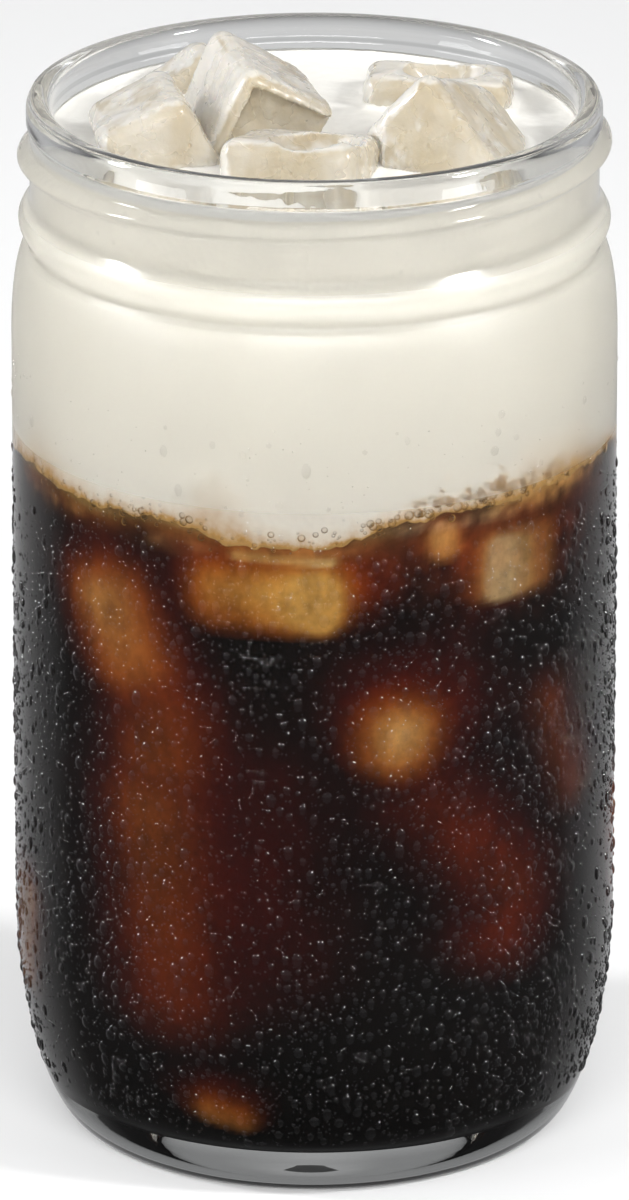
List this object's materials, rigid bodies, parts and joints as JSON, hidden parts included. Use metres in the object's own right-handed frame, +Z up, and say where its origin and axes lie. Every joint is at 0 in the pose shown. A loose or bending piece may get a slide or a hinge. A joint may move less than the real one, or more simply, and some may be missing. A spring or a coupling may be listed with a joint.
{
  "type": "iced salted coffee",
  "caption": "Iced coffee under a thick layer of salted cream with ice blocks standing out of it, in a clear screw-neck drinking jar.",
  "frame": {"origin": "centre of the foot, at the level that the jar stands on", "axes": "+Z up along the jar's axis; the front of the drink faces -Y and +X is to its right"},
  "size_m": [0.079, 0.079, 0.147],
  "materials": {
    "glass": "clear and smooth, with condensation drops outside",
    "coffee": "nearly black liquid with amber patches where sunk ice lies near the wall",
    "cream": "thick off-white foam with fine bubbles",
    "ice": "wet, cloudy, cream-tinted ice"
  },
  "bodies": {
    "root": {"jar": "glass", "coffee": "coffee", "cream": "cream", "ice_tall": "ice", "ice_left": "ice", "ice_back_left": "ice", "ice_front": "ice", "ice_right": "ice", "ice_back_right": "ice"}
  },
  "joints": []
}
